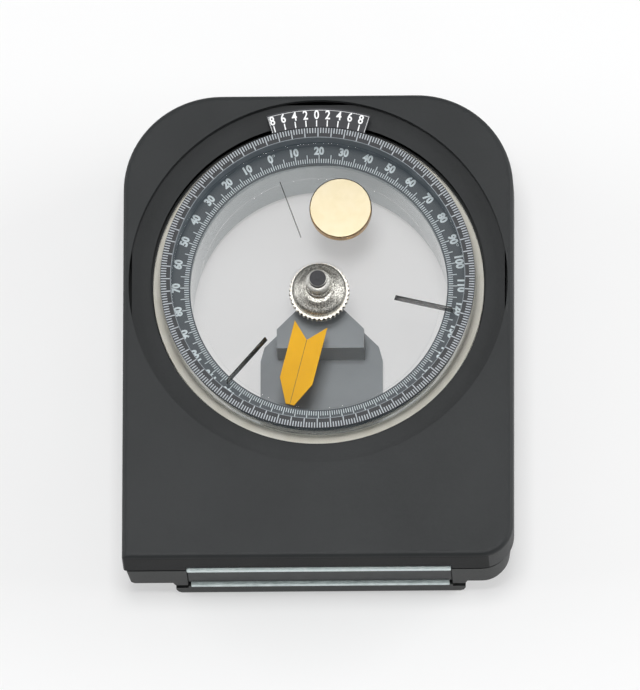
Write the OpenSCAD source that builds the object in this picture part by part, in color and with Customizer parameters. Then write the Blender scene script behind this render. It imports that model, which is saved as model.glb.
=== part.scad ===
// Hand inclinometer with a magnetic base.
// A hand-turned dial rides in the front shell, and a weighted pointer swings
// freely below it on a fixed spindle. The instrument lies on its back:
// +Z comes out of the dial, +Y points to its top, the magnetic base faces -Y,
// and the origin is at the bottom centre of the whole.

/* [Case] */
// Width of the case
body_w = 100; // [98:1:116]
// Height of the case, from the base wall to the top
body_h = 124; // [118:1:140]
// Depth of the front shell, from the parting line to the face
front_depth = 11.2; // [10.8:0.1:14]
// Depth of the rear shell, from the parting line to its floor
rear_depth = 10.9; // [10.5:0.1:14]
// How far the raised back stands behind the rear shell
back_depth = 9.3; // [8.8:0.1:12]
// Width of the raised back where it meets the base
back_w = 76; // [75:0.2:80]
// Wall of both shells
wall = 2.2; // [1.8:0.1:2.6]
// Radius of the two top corners
top_corner_r = 25; // [14:1:28]
// Radius of the lower right corner
foot_corner_r = 8.5; // [5:0.5:12]
// Round on the front edge of the case
edge_r = 1.5; // [0.8:0.1:2]
// Inward draft of the rear shell's sides
rear_draft = 1.4; // [0.8:0.1:2.4]

/* [Bezel] */
// Clear face between the bezel and the top of the case
top_margin = 1.5; // [1:0.1:5]
// Clear face between the bezel and each side of the case
side_margin = 1.4; // [1:0.1:5]
// Height of the bezel above the face
bezel_h = 3.7; // [2.8:0.1:4.5]
// Width of the bezel's flat top
bezel_land = 5.9; // [5.4:0.1:6.2]
// Width of the bezel's slope
bezel_slope = 2.2; // [1:0.1:2.6]

/* [Dial] */
// Running clearance between the dial and the bezel
dial_gap = 0.08; // [0.04:0.01:0.1]
// How far the dial's scale lies below the bezel's top
dial_recess = 0.9; // [0.6:0.1:1.2]
// Width of the outer scale ring
tick_ring_w = 2.6; // [2.2:0.1:3]
// Thickness of the two scale rings
scale_t = 0.5; // [0.4:0.1:0.8]
// Depth of the finger recess in the lens
lens_recess = 4.6; // [4.3:0.1:5]
// Thickness of the lens
lens_t = 1.4; // [1.2:0.1:1.8]
// Width of the numbered ring, which bounds the window
number_ring_w = 5.92; // [5.5:0.01:6.5]
// How far the numbered ring lies below the outer scale ring
number_drop = 8.2; // [7.8:0.1:8.6]
// Angle between the two finger ribs on the lens
rib_spread = 117.5; // [100:0.5:130]
// Height of a finger rib
rib_h = 3.4; // [2.5:0.1:3.8]
// Thickness of a finger rib
rib_t = 0.4; // [0.3:0.1:1]
// Length of a finger rib
rib_l = 15.3; // [12:0.1:18]
// Length of the line on the lens that points to the zero mark
zero_line_l = 16; // [12:0.5:18]
// Angle of the dial's zero mark, anticlockwise from the top
dial_turn = 20; // [0:5:45]

/* [Vernier] */
// Angle that the vernier plate spans
vernier_span = 34.6; // [30:0.2:40]
// Angle of the vernier's middle, clockwise from the top
vernier_turn = 0.15; // [0:0.05:2]
// Radial width of the vernier opening
vernier_w = 5.1; // [4.6:0.1:5.2]

/* [Rotor] */
// Distance of the clear rotor disc's rim from the edge of the window
rotor_inset = 2; // [1.5:0.1:4]
// Thickness of the rotor disc
rotor_t = 1; // [0.8:0.1:1.4]
// Depth of the rotor disc's face below the outer scale ring
rotor_drop = 13.2; // [12.8:0.1:13.8]
// Radius of the brass weight
weight_r = 8; // [6:0.5:9]
// Thickness of the brass weight
weight_t = 3; // [2:0.1:3.2]
// Radius of the rotor's hub
hub_r = 6.9; // [6.2:0.1:7.4]
// Radius over the teeth of the hub's rim
rim_r = 7.8; // [7.6:0.1:8.2]
// Number of teeth on the hub's rim
rim_teeth = 40; // [32:1:48]
// Width of the pointer
arrow_w = 8.6; // [6:0.1:10]
// Angle of the brass weight, clockwise from the top
rotor_turn = 14; // [0:1:45]

/* [Spindle and bridge] */
// Radius of the spindle
spindle_r = 2; // [1.8:0.05:2.2]
// Clearance of what turns on the spindle
spindle_gap = 0.05; // [0.02:0.01:0.08]
// Outer radius of the ball bearings
bearing_r = 4; // [3.8:0.1:4.4]
// Half width of the bridge's arm
arm_half_w = 15.7; // [12:0.1:17]
// Half width of the bridge's head
head_half_w = 11.2; // [9:0.1:11.8]
// Thickness of the bridge's arm
arm_t = 1.4; // [1.2:0.1:1.8]
// Height of the bridge's head above its arm
head_h = 10.3; // [9.5:0.1:10.6]
// Distance from the spindle to the front of the bridge's head
head_len = 12.6; // [11:0.1:15]

/* [Magnetic base] */
// Length of the pole plates
pole_l = 67.6; // [60:0.2:68]
// How much shorter the lower pole plate is
lower_pole_less = 1.4; // [0:0.2:3]
// Thickness of a pole plate
pole_t = 2; // [1.6:0.1:2.4]
// How far the pole plates stand proud of the base wall
pole_proud = 0.5; // [0.2:0.1:0.8]
// Share of the room between the base wall and the raised ring that the magnet takes
magnet_share = 0.422; // [0.3:0.002:0.43]
// Thickness of the magnet
magnet_t = 10.7; // [9.5:0.1:10.8]

/* [Fasteners] */
// Radius of a case screw's thread
screw_r = 1.25; // [1.1:0.05:1.5]
// Radius of a case screw's head
screw_head_r = 2.7; // [2.4:0.1:3]

/* [Hidden] */

eps = 0.01;
fit_gap = 0.1;          // gap round a piece that drops into its seat
press_gap = 0.02;       // gap round a piece that is pressed home
round_fn = 96;
hull_fn = 40;
sharp_r = 0.6;          // radius of the nearly square corner

// Heights
rear_z = back_depth;
part_z = rear_z + rear_depth;
face_z = part_z + front_depth;
bezel_z = face_z + bezel_h;
scale_z = bezel_z - dial_recess;
lens_z = scale_z - lens_recess;
number_z = scale_z - number_drop;
disc_z = scale_z - rotor_drop;

// Bezel and dial radii, from the side of the case inwards
half_w = body_w / 2;
bezel_foot_r = half_w - side_margin;
bezel_r = bezel_foot_r - bezel_slope;
bore_r = bezel_r - bezel_land;
dial_r = bore_r - dial_gap;
step_r = dial_r - tick_ring_w - fit_gap;
number_out_r = step_r + 1.2;
window_r = number_out_r - number_ring_w;
foot_r = dial_r + 2;        // rim of the dial, caught behind the bezel
foot_t = 1.5;
foot_gap = 0.4;             // lift left between the rim and its ledge
foot_z = number_z - scale_t;
ledge_z = foot_z + foot_t + foot_gap;
guide_r = bore_r + 2.5;     // outside of the ring wall that guides the dial

// Places on the face
top_y = (body_h + pole_proud) / 2;
base_y = top_y - body_h;
dial_y = top_y - bezel_foot_r - top_margin;

// See-through tube, its pane and the ring that keeps it
tube_r = bore_r;
upstand_r = foot_r + 0.15;
tube_out_r = upstand_r + 0.9;
raised_r = bezel_r - 0.9;
foot_lean = 0.9;            // the raised foot's ends lean in by this much below their root
root_z = rear_z - 2.3;
pane_r = raised_r - 2.4;
pane_t = 1.4;
pane_back = 0.7;            // depth of the pane's back below the raised back
sleeve_t = 1.2;
sleeve_z = pane_back + pane_t + press_gap;
sleeve_top_z = foot_z - 2.1;
seat_z = ledge_z - 4.9;     // top of the tube, where the wave spring sits
seat_in_r = dial_r - 1.1;
seat_t = 1.5;
slip_t = 0.8;
spring_t = 0.3;
spring_in_r = seat_in_r + 0.3;
spring_out_r = foot_r - 0.4;
spring_waves = 6;
spring_steps = 96;

// Bridge
arm_z = pane_back + pane_t + fit_gap;
arm_top_z = arm_z + arm_t;
head_z = arm_top_z + head_h;
boss_r = 5.5;
boss_h = 1.5;
boss_z = head_z + boss_h;
bridge_wall = 1.6;
arm_from = 5.7;             // the arm starts this far below the spindle
base_room = dial_y - base_y - raised_r;
magnet_d = magnet_share * base_room;
arm_to = dial_y - base_y - magnet_d - wall - 0.06 * base_room;   // and ends here, on the back's floor
foot_block_l = 0.37 * base_room;
foot_block_h = 6;
bridge_screw_x = 10;
bridge_screw_y = dial_y - arm_to + foot_block_l / 2;

// Rotor
rotor_r = window_r - rotor_inset;
hub_barrel_r = bearing_r + 1.4;
hub_z = boss_z + 1.6;
hub_shoulder_z = disc_z + 4;
hub_top_z = disc_z + 6.3;
hub_top_r = spindle_r + 1.1;
rim_h = 1.4;
tooth_r = 0.32;
disc_boss_r = 8.7;
disc_boss_t = 1;
weight_at = rotor_r - weight_r - 0.4;
bearing_t = 2.5;
arrow_t = 0.35;
arrow_in = rim_r + 0.9;
arrow_notch = 4.5;
arrow_tip_w = 2.2;
arrow_taper = 6.6;

// Spindle
spindle_top_z = scale_z - 0.6;
spindle_foot_z = arm_top_z + 0.4;
nut_t = 2.2;
nut_z = arm_top_z + 1.5;
nut_across = 7;

// Magnetic base
lower_pole_z = rear_z - 0.1 - pole_t;
upper_pole_z = lower_pole_z + pole_t + magnet_t;
magnet_set_in = 0.3;
pocket_l = pole_l + 2 * fit_gap;

// Case screws: a row at the top corners and a row at the base
screw_corner = [half_w - 12, top_y - 12.2];
screw_base = [half_w - 8.4, base_y + 7.8];
screw_spots = [for (s = [-1, 1], p = [screw_corner, screw_base]) [s * p[0], p[1]]];
screw_boss_r = screw_r + 2.1;
screw_head_t = 1.9;
screw_seat_z = rear_z + 2.6;
screw_end_z = face_z - wall - 2.2;

// Corners of the case: round at the top, one round and one nearly square at the base.
// side_in draws in the sides and the top, and base_in the base.
module case_corners(side_in, base_in) {
    x = half_w - side_in;
    y1 = top_y - side_in;
    y0 = base_y + base_in;
    rt = top_corner_r - side_in;
    rf = max(foot_corner_r - side_in, 1);
    for (s = [-1, 1]) translate([s * (x - rt), y1 - rt]) circle(rt);
    translate([x - rf, y0 + rf]) circle(rf);
    translate([-x + sharp_r, y0 + sharp_r]) circle(sharp_r);
}

module case_outline(side_in, base_in) {
    x = half_w - side_in;
    y1 = top_y - side_in;
    y0 = base_y + base_in;
    rt = top_corner_r - side_in;
    rf = max(foot_corner_r - side_in, 1);
    polygon([[-x + sharp_r, y0], [x - rf, y0], [x, y0 + rf], [x, y1 - rt],
             [x - rt, y1], [-x + rt, y1], [-x, y1 - rt], [-x, y0 + sharp_r]]);
    case_corners(side_in, base_in, $fn = round_fn);
}

module slab(z, h) {
    translate([0, 0, z]) linear_extrude(h) children();
}

module at_dial() {
    translate([0, dial_y, 0]) children();
}

module ring(r_in, r_out, z, h) {
    rotate_extrude($fn = round_fn) translate([r_in, z]) square([r_out - r_in, h]);
}

module rod(r, z, h) {
    translate([0, 0, z]) cylinder(r = r, h = h, $fn = round_fn);
}

module at_screws() {
    for (p = screw_spots) translate([p[0], p[1], 0]) children();
}

// Front shell

module front_block() {
    round_steps = 4;
    hull() {
        slab(part_z, eps) case_corners(0, 0, $fn = hull_fn);
        for (i = [0 : round_steps]) {
            a = 90 * i / round_steps;
            inset = edge_r * (1 - cos(a));
            slab(face_z - edge_r + edge_r * sin(a) - eps, eps)
                case_corners(inset, inset, $fn = hull_fn);
        }
    }
}

module bezel() {
    lip = 0.5;
    at_dial() rotate_extrude($fn = round_fn)
        polygon([[bore_r, ledge_z], [guide_r, ledge_z], [guide_r, face_z - wall],
                 [bezel_foot_r, face_z - wall], [bezel_foot_r, face_z],
                 [bezel_r, bezel_z - lip], [bezel_r - lip, bezel_z], [bore_r, bezel_z]]);
}

module vernier_sector(r_in, r_out, z, h, span) {
    at_dial() rotate([0, 0, 90 - vernier_turn - span / 2])
        rotate_extrude(angle = span, $fn = round_fn)
            translate([r_in, z]) square([r_out - r_in, h]);
}

module pole_slot(z) {
    translate([-pocket_l / 2, base_y - 1, z - fit_gap])
        cube([pocket_l, magnet_d + 1 + fit_gap, pole_t + 2 * fit_gap]);
    translate([-pocket_l / 2, base_y - 1, z]) cube([pocket_l, 2.2, pole_t + 0.7]);
}

module front_shell() {
    color("#3a3c3d") difference() {
        union() {
            difference() {
                front_block();
                slab(part_z - 1, front_depth - wall + 1) case_outline(wall, wall);
                at_dial() rod(bore_r + 1, part_z, front_depth + 1);
            }
            bezel();
            intersection() {
                at_screws() rod(screw_boss_r, part_z, front_depth - wall + eps);
                slab(part_z, front_depth) case_outline(wall / 2, wall / 2);
            }
        }
        vernier_sector(bore_r - 0.5, bore_r + vernier_w, scale_z - scale_t, dial_recess + scale_t + 1,
                       vernier_span);
        at_screws() rod(screw_r + press_gap, part_z - 1, screw_end_z - part_z + 1.5);
        pole_slot(upper_pole_z);
    }
}

// Rear shell

module rear_block() {
    hull() {
        slab(part_z - eps, eps) case_corners(0.6, 0, $fn = hull_fn);
        slab(rear_z + 0.7, eps) case_corners(rear_draft, 0, $fn = hull_fn);
        slab(rear_z, eps) case_corners(rear_draft + 0.6, 0, $fn = hull_fn);
    }
}

// Shadow gap: a rebate round the rear shell where it meets the front one
module shadow_gap() {
    slab(part_z - 0.5, 1) difference() {
        square([2 * body_w, 2 * body_h], center = true);
        case_outline(1.3, 0.6);
    }
}

// The raised back's foot. Its ends lean in from the root and are rounded off towards the back.
module foot_layers(steps) {
    hull() for (step = steps)
        translate([-back_w / 2 + step[1], base_y + step[2], step[0]])
            cube([back_w - 2 * step[1], dial_y - base_y, eps]);
}

module raised_foot() {
    foot_layers([[0, 3, 0.6], [0.5, 2.2, 0.1], [1.6, 1.4, 0], [3.4, foot_lean, 0], [root_z, foot_lean, 0]]);
    foot_layers([[root_z, foot_lean, 0], [rear_z + 1, 0, 0]]);
}

module raised_ring() {
    chamfer = 0.8;
    at_dial() rotate_extrude($fn = round_fn)
        polygon([[tube_r - 1, 0], [raised_r - chamfer, 0], [raised_r, chamfer],
                 [raised_r, rear_z + 1], [tube_out_r, rear_z + 1], [tube_out_r, foot_z - fit_gap],
                 [upstand_r, foot_z - fit_gap], [upstand_r, seat_z], [seat_in_r, seat_z],
                 [seat_in_r, seat_z - seat_t],
                 [tube_r - 1, seat_z - seat_t - 1]]);
}

// Ribs that box in the magnet on the floor of the raised back
module magnet_rib() {
    outer_l = pocket_l + 2 * wall;
    translate([-outer_l / 2, base_y + eps, wall - eps])
        cube([outer_l, magnet_d + wall, part_z - wall - 0.5]);
}

module rear_hollow() {
    slab(rear_z + wall, rear_depth) case_outline(rear_draft + wall, wall);
    translate([-back_w / 2 + foot_lean + wall, base_y + wall, wall])
        cube([back_w - 2 * (foot_lean + wall), dial_y - base_y - wall, rear_z + 1]);
}

// A groove under the lower pole plate, deeper beyond its ends, where it runs out at the sides
module end_recess() {
    recess_w = back_w / 2 - pocket_l / 2 + 1;
    recess_h = 2.4;
    for (s = [0, 1]) mirror([s, 0, 0])
        translate([pocket_l / 2 - eps, base_y - 1, lower_pole_z - recess_h])
            cube([recess_w, 2.2, recess_h]);
    translate([-pocket_l / 2, base_y - 1, lower_pole_z - 0.8]) cube([pocket_l, 2.2, 1]);
}

module rear_shell() {
    color("#424445") difference() {
        union() {
            difference() {
                union() {
                    rear_block();
                    raised_foot();
                }
                rear_hollow();
            }
            raised_ring();
            magnet_rib();
            intersection() {
                at_screws() rod(screw_head_r + 1.8, rear_z + eps, rear_depth - eps);
                rear_block();
            }
        }
        // see-through tube, and the seat for the pane and its ring
        at_dial() {
            rod(tube_r, -1, seat_z - seat_t);
            rod(pane_r + fit_gap, -1, pane_back + pane_t + 1);
            rod(seat_in_r, seat_z - seat_t - 2, seat_t + 3);
        }
        // the bridge's arm passes under the tube's wall
        translate([-arm_half_w - 0.3, dial_y - arm_to - 0.3, arm_z - fit_gap])
            cube([2 * arm_half_w + 0.6, arm_to - tube_r + 4, arm_t + 0.4]);
        translate([0, bridge_screw_y, 0]) for (s = [-1, 1]) translate([s * bridge_screw_x, 0, 0]) {
            rod(screw_r + fit_gap, -1, wall + 2);
            rod(screw_head_r + fit_gap, -1, 2.2);
        }
        // magnet and lower pole plate
        translate([-pocket_l / 2, base_y - 1, lower_pole_z - fit_gap])
            cube([pocket_l, magnet_d + 1 + fit_gap, part_z]);
        end_recess();
        shadow_gap();
        at_screws() {
            rod(screw_r + fit_gap, rear_z - 1, rear_depth + 2);
            rod(screw_head_r + fit_gap, rear_z - 1, screw_seat_z - rear_z + 1);
        }
    }
}

module rear_window() {
    color("#dfe6e8", 0.4) at_dial() rod(pane_r, pane_back, pane_t);
}

module window_ring() {
    color("#37393a") at_dial() ring(pane_r - 2.2, pane_r, fit_gap, pane_back - 1.5 * fit_gap);
}

// Clear sleeve that stands on the pane and walls in the rotor, with a gap for the bridge's arm
module chamber_sleeve() {
    gap_half_w = arm_half_w + 0.5;
    color("#dfe6e8", 0.4) at_dial() difference() {
        ring(window_r, window_r + sleeve_t, sleeve_z, sleeve_top_z - sleeve_z);
        translate([-gap_half_w, -window_r - 5, sleeve_z - 1])
            cube([2 * gap_half_w, window_r, arm_top_z + 0.5 - sleeve_z + 1]);
    }
}

module vernier_plate() {
    color("#26282a") vernier_sector(bore_r, bore_r + vernier_w - fit_gap, scale_z - scale_t, scale_t,
                                    vernier_span - 0.5);
}

// Bridge: an arm on the floor of the back carries a hollow head up to the spindle

module arm_shape() {
    right = [[arm_half_w, -arm_to], [arm_half_w, -arm_from - 7.2],
             [arm_half_w - 1, -arm_from - 3.5], [head_half_w, -arm_from]];
    left = [for (i = [3 : -1 : 0]) [-right[i][0], right[i][1]]];
    polygon(concat(right, [[0, boss_r / 2]], left));
}

module head_shape(half_w, len, shoulder, r) {
    polygon([[half_w, -len], [half_w, -shoulder], [half_w - shoulder, 0],
             [shoulder - half_w, 0], [-half_w, -shoulder], [-half_w, -len]]);
    circle(r, $fn = round_fn);
}

module bearing_bridge() {
    shoulder = 7.5;
    nut_room_r = nut_across / 2 + 1;
    color("#8c9093") at_dial() difference() {
        union() {
            slab(arm_z, arm_t) arm_shape();
            slab(arm_z, head_z - arm_z) head_shape(head_half_w, head_len, shoulder, boss_r);
            rod(boss_r, head_z - eps, boss_h + eps);
            translate([-arm_half_w, -arm_to, arm_z]) cube([2 * arm_half_w, foot_block_l, foot_block_h]);
        }
        slab(arm_z - 1, head_h + arm_t - bridge_wall + 1) difference() {
            head_shape(head_half_w - bridge_wall, head_len - bridge_wall,
                       shoulder + 0.6 * bridge_wall, 0.1);
            circle(boss_r, $fn = round_fn);
        }
        rod(spindle_r + press_gap, arm_z - 1, head_h + 10);
        rod(nut_room_r, arm_z - 1, nut_z + nut_t - arm_z + 1);
        for (s = [-1, 1]) translate([s * bridge_screw_x, foot_block_l / 2 - arm_to, 0])
            rod(screw_r + press_gap, arm_z - 1, foot_block_h);
    }
}

// A pan head with a cross recess, its seat at z = 0 and its thread going up
module screw(head_h, len) {
    slot_w = 0.6;
    slot_l = 1.3 * screw_head_r;
    difference() {
        union() {
            rod(screw_head_r, -head_h, head_h);
            rod(screw_r, -eps, len);
        }
        for (a = [0, 90]) rotate([0, 0, a])
            translate([-slot_l / 2, -slot_w / 2, -head_h - 1]) cube([slot_l, slot_w, 1.6]);
    }
}

module bridge_screws() {
    head_top = 1.2;
    color("#b9bcbe") translate([0, bridge_screw_y, head_top])
        for (s = [-1, 1]) translate([s * bridge_screw_x, 0, 0]) screw(1, foot_block_h - 1);
}

module case_screws() {
    color("#b9bcbe") at_screws() translate([0, 0, screw_seat_z])
        screw(screw_head_t, screw_end_z - screw_seat_z);
}

module spindle() {
    cup_r = spindle_r - 0.45;
    color("#4a4a4c") at_dial() rotate_extrude($fn = round_fn)
        polygon([[0, spindle_foot_z], [spindle_r - 0.3, spindle_foot_z],
                 [spindle_r, spindle_foot_z + 0.3], [spindle_r, spindle_top_z - 0.3],
                 [spindle_r - 0.3, spindle_top_z], [cup_r, spindle_top_z],
                 [cup_r - 0.3, spindle_top_z - 0.5], [0, spindle_top_z - 0.5]]);
}

module spindle_nut() {
    color("#b9bcbe") at_dial() translate([0, 0, nut_z]) difference() {
        cylinder(r = nut_across / sqrt(3), h = nut_t - 0.1, $fn = 6);
        rod(spindle_r + press_gap, -1, nut_t + 2);
    }
}

module spacer_washer() {
    color("#b9bcbe") at_dial() ring(spindle_r + press_gap, spindle_r + 1.2, boss_z, hub_z - boss_z);
}

// Magnetic base

module magnet() {
    color("#4b4d4f") translate([-pole_l / 2, base_y + magnet_set_in, lower_pole_z + pole_t])
        cube([pole_l, magnet_d - magnet_set_in, magnet_t]);
}

module pole(z, l) {
    cut = 1.2;
    x = l / 2;
    y0 = base_y - pole_proud;
    y1 = base_y + magnet_d;
    slab(z, pole_t) polygon([[-x, y0], [x, y0], [x, y1 - cut], [x - cut, y1], [cut - x, y1], [-x, y1 - cut]]);
}

module upper_pole() {
    color("#cbd6d5") pole(upper_pole_z, pole_l);
}

module lower_pole() {
    color("#cbd6d5") pole(lower_pole_z, pole_l - lower_pole_less);
}

// Dial

// Wave washer that lifts the dial: a flat ring bent into a whole number of waves
module wave_spring() {
    slip_z = foot_z - 0.05 - slip_t;
    mid_z = (seat_z + slip_z) / 2;
    rise = (slip_z - seat_z - spring_t) / 2 - 0.02;
    corners = [[spring_in_r, -spring_t / 2], [spring_out_r, -spring_t / 2],
               [spring_out_r, spring_t / 2], [spring_in_r, spring_t / 2]];
    points = [for (i = [0 : spring_steps - 1], c = corners)
        let (a = 360 * i / spring_steps, z = mid_z + rise * cos(spring_waves * a) + c[1])
            [c[0] * cos(a), c[0] * sin(a), z]];
    count = 4 * spring_steps;
    faces = [for (i = [0 : spring_steps - 1], j = [0 : 3])
        let (a = 4 * i + j, b = 4 * i + (j + 1) % 4, c = (a + 4) % count, d = (b + 4) % count)
            each [[a, c, b], [b, c, d]]];
    color("#b9bcbe") at_dial() polyhedron(points, faces, convexity = 8);
}

module slip_ring() {
    color("#e9e6dc") at_dial() ring(seat_in_r + 0.2, foot_r, foot_z - 0.05 - slip_t, slip_t);
}

module finger_rib() {
    out = step_r - 2.4;
    rib_in = out - rib_l;
    lean = 0.5;
    rotate([90, 0, 0]) translate([0, 0, -rib_t / 2]) linear_extrude(rib_t)
        polygon([[rib_in, lens_z - eps], [out + lean, lens_z - eps], [out, lens_z + rib_h],
                 [rib_in + lean, lens_z + rib_h]]);
}

// Fine groove in the lens that points to the zero mark
module zero_line() {
    groove_w = 0.3;
    groove_d = 0.2;
    translate([window_r - 4 - zero_line_l, -groove_w / 2, lens_z - groove_d])
        cube([zero_line_l, groove_w, 1]);
}

module dial_lens() {
    centre_r = spindle_r + spindle_gap;
    skirt_r = step_r + 0.3;
    seat_r = number_out_r + press_gap;
    rib_middle = 178;
    color("#e4eaec", 0.35) at_dial() rotate([0, 0, 90 + dial_turn]) {
        difference() {
            rotate_extrude($fn = round_fn)
                polygon([[centre_r, lens_z - lens_t], [skirt_r, lens_z - lens_t], [skirt_r, number_z],
                         [seat_r, number_z], [seat_r, foot_z], [foot_r, foot_z],
                         [foot_r, foot_z + foot_t], [dial_r, foot_z + foot_t],
                         [dial_r, scale_z - scale_t], [step_r, scale_z - scale_t],
                         [step_r, lens_z], [centre_r, lens_z]]);
            zero_line();
        }
        for (s = [-0.5, 0.5]) rotate([0, 0, rib_middle + s * rib_spread]) finger_rib();
    }
}

module tick_ring() {
    color("#2b2d30") at_dial() ring(step_r, dial_r - fit_gap, scale_z - scale_t, scale_t);
}

module number_ring() {
    color("#3c4347") at_dial() ring(window_r, number_out_r, foot_z, scale_t);
}

// Rotor

module at_rotor() {
    at_dial() rotate([0, 0, -rotor_turn]) children();
}

module rotor_hub() {
    flange_r = hub_barrel_r + 1.2;
    flange_z = disc_z - rotor_t - disc_boss_t;
    lid_z = hub_top_z - 2.1;
    pocket_r = bearing_r + press_gap;
    color("#c9c7be") at_rotor() rotate_extrude($fn = round_fn)
        polygon([[pocket_r, hub_z], [hub_barrel_r, hub_z], [hub_barrel_r, flange_z - 0.8],
                 [flange_r, flange_z - 0.8], [flange_r, flange_z], [hub_barrel_r, flange_z],
                 [hub_barrel_r, disc_z + rim_h], [hub_r, disc_z + rim_h],
                 [hub_r, hub_shoulder_z - 0.6], [hub_r - 0.6, hub_shoulder_z],
                 [hub_top_r + 1.1, hub_top_z - 1], [hub_top_r, hub_top_z - 0.9],
                 [hub_top_r, hub_top_z], [spindle_r + 0.3, hub_top_z],
                 [spindle_r + 0.3, lid_z], [pocket_r, lid_z]]);
}

module hub_rim() {
    color("#efe9d6") at_rotor() translate([0, 0, disc_z]) linear_extrude(rim_h) difference() {
        circle(rim_r, $fn = round_fn);
        circle(hub_barrel_r + press_gap, $fn = round_fn);
        for (i = [0 : rim_teeth - 1]) rotate(360 * i / rim_teeth)
            translate([rim_r + tooth_r / 4, 0]) circle(tooth_r, $fn = 16);
    }
}

module rotor_bearings() {
    lid_z = hub_top_z - 2.1;
    color("#d0d3d5") at_rotor()
        for (z = [hub_z, lid_z - bearing_t])
            ring(spindle_r + spindle_gap, bearing_r, z, bearing_t);
}

module rotor_disc() {
    hole_r = hub_barrel_r + press_gap;
    color("#e4eaec", 0.3) at_rotor() difference() {
        rotate_extrude($fn = round_fn)
            polygon([[hole_r, disc_z - rotor_t - disc_boss_t], [disc_boss_r, disc_z - rotor_t - disc_boss_t],
                     [disc_boss_r, disc_z - rotor_t], [rotor_r, disc_z - rotor_t],
                     [rotor_r, disc_z], [hole_r, disc_z]]);
        translate([0, weight_at, 0]) rod(1.5 + press_gap, disc_z - rotor_t - 1, rotor_t + 2);
    }
}

module brass_weight() {
    edge = 0.3;
    color("#d9b25a") at_rotor() translate([0, weight_at, disc_z]) rotate_extrude($fn = round_fn)
        polygon([[0, 1.7], [1.5 + press_gap, 1.7], [1.5 + press_gap, 0], [weight_r - edge, 0],
                 [weight_r, edge], [weight_r, weight_t - edge], [weight_r - edge, weight_t],
                 [0, weight_t]]);
}

module weight_pin() {
    head_t = 0.7;
    color("#d9b25a") at_rotor() translate([0, weight_at, disc_z - rotor_t]) {
        rod(2.6, -head_t, head_t);
        rod(1.5, -eps, rotor_t + 1.6);
    }
}

// Flat pointer with a notched tail and a blunt tip, folded along its middle
module pointer_arrow() {
    half = arrow_w / 2;
    tip = arrow_tip_w / 2;
    fold = 0.3;
    right = [[half, -arrow_in], [half, arrow_taper - rotor_r], [tip, -rotor_r]];
    left = [for (i = [2 : -1 : 0]) [-right[i][0], right[i][1]]];
    color("#e5ae2c") at_rotor() difference() {
        slab(disc_z, arrow_t + fold) polygon(concat([[0, -arrow_in - arrow_notch]], right, left));
        for (s = [0, 1]) mirror([s, 0, 0]) translate([0, -rotor_r - 1, disc_z + arrow_t + fold])
            rotate([0, atan(fold / half), 0]) cube([arrow_w, rotor_r, 2]);
    }
}

front_shell();
rear_shell();
rear_window();
window_ring();
chamber_sleeve();
vernier_plate();
bearing_bridge();
bridge_screws();
spindle();
spindle_nut();
spacer_washer();
case_screws();
magnet();
upper_pole();
lower_pole();
wave_spring();
slip_ring();
dial_lens();
tick_ring();
number_ring();
rotor_hub();
hub_rim();
rotor_bearings();
rotor_disc();
brass_weight();
weight_pin();
pointer_arrow();
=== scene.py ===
# %% [markdown]
# # A hand inclinometer, piece by piece
# The CAD model gives every solid its size and its place. This lesson dresses those solids: it
# remodels the pieces that show most, gives each finish a material, and sets up the light and the camera.
# The first cell loads the CAD parts from model.glb and bakes their placement into their meshes. The
# first cell loads the frame, which must stay as it is.

# %% Load the frame
import math

import bmesh
import bpy
from mathutils import Matrix, Vector


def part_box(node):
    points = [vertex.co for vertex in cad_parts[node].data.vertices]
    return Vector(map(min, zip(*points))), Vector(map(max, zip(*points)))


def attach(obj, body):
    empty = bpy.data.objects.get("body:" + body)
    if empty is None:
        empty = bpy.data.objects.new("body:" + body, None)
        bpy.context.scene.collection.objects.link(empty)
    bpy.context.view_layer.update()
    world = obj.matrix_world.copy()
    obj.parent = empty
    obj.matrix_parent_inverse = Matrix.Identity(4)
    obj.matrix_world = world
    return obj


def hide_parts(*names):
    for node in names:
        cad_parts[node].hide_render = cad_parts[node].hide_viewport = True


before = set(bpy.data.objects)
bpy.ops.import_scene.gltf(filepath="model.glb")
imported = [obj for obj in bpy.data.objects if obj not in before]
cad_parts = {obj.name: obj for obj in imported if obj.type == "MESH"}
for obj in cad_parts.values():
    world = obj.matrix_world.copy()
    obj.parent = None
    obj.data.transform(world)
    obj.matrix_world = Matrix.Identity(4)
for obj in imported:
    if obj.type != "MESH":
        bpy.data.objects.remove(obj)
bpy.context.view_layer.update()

# %% [markdown]
# ## Sizes in millimetres
# Blender counts in metres, and a workshop drawing counts in millimetres. One factor and one small
# function keep the numbers below readable. The heights are measured from the table that the
# instrument lies on, and the radii from the middle of the dial.

# %% Sizes
MM = 0.001
DIAL_Y = 500 * (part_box("tick_ring")[0].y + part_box("tick_ring")[1].y)
PART_Z, FACE_Z, BEZEL_Z = 20.2, 31.4, 35.1     # parting line, face, top of the bezel
SCALE_Z, LENS_Z, NUMBER_Z, DISC_Z = 34.2, 29.6, 26.0, 21.0
BORE_R, BEZEL_R, BEZEL_FOOT_R = 40.5, 46.4, 48.6
ZERO_TURN = 20.0        # the dial's zero mark, degrees anticlockwise from the top
ROTOR_TURN = -14.0      # the brass weight, degrees anticlockwise from the top
VERNIER_TURN = -0.15    # the middle of the vernier plate, degrees anticlockwise from the top
RIB_TURN = 178.0        # half way between the finger ribs, degrees anticlockwise from the zero mark
RIB_SPREAD = 117.5      # the angle between the two finger ribs


def at(x, y, z):
    """A point given in millimetres, as Blender's metres."""
    return Vector((x, y, z)) * MM


def about_dial(degrees):
    """Turns a piece anticlockwise about the dial's axis."""
    centre = Matrix.Translation(at(0, DIAL_Y, 0))
    return centre @ Matrix.Rotation(math.radians(degrees), 4, "Z") @ centre.inverted()


print("dial centre", round(DIAL_Y, 2), "mm above the middle of the case")

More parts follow.
